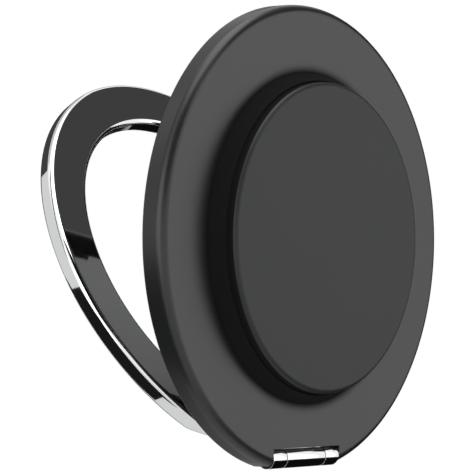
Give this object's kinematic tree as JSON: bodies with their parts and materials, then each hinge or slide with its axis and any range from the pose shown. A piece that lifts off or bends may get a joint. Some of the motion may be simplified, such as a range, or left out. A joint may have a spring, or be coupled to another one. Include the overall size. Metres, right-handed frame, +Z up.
{
  "type": "phone grip stand",
  "caption": "Round phone grip: a thin flanged disc with a raised magnetic contact puck, and a flat chrome ring that nests in its back and swings out on a hinge at the edge.",
  "frame": {"origin": "centre of the contact pad's front face, the face that goes against the phone", "axes": "-Y out of the contact face towards the phone, +Z up, away from the hinge, +X along the hinge"},
  "size_m": [0.0624, 0.0364, 0.0618],
  "materials": {
    "grey_coat": "satin dark grey coat on cast aluminium",
    "pad_rubber": "matte soft-touch silicone",
    "skirt_rubber": "dull black soft rubber",
    "bright_chrome": "polished chrome plate",
    "plain_steel": "bright drawn steel",
    "magnet_nickel": "nickel plate",
    "bond_film": "black double-sided film",
    "sleeve_brass": "rolled brass"
  },
  "bodies": {
    "grip_body": {"front_housing": "grey_coat", "contact_pad": "pad_rubber", "foot_skirt": "skirt_rubber", "pad_adhesive": "bond_film", "magnet_01": "magnet_nickel", "magnet_02": "magnet_nickel", "magnet_03": "magnet_nickel", "magnet_04": "magnet_nickel", "magnet_05": "magnet_nickel", "magnet_06": "magnet_nickel", "magnet_07": "magnet_nickel", "magnet_08": "magnet_nickel", "magnet_09": "magnet_nickel", "magnet_10": "magnet_nickel", "magnet_11": "magnet_nickel", "magnet_12": "magnet_nickel", "steel_yoke": "plain_steel", "back_cover": "grey_coat", "cover_adhesive": "bond_film", "hinge_bracket": "bright_chrome", "hinge_pin": "plain_steel", "bracket_screws": "plain_steel"},
    "ring": {"stand_ring": "bright_chrome", "friction_sleeve": "sleeve_brass"}
  },
  "joints": [
    {"name": "ring_hinge", "type": "hinge", "parent": "grip_body", "child": "ring", "pos_m": [0, 0.00485, -0.0293], "axis": [-1, 0, 0], "range_deg": [-30.4, 149.6]}
  ]
}
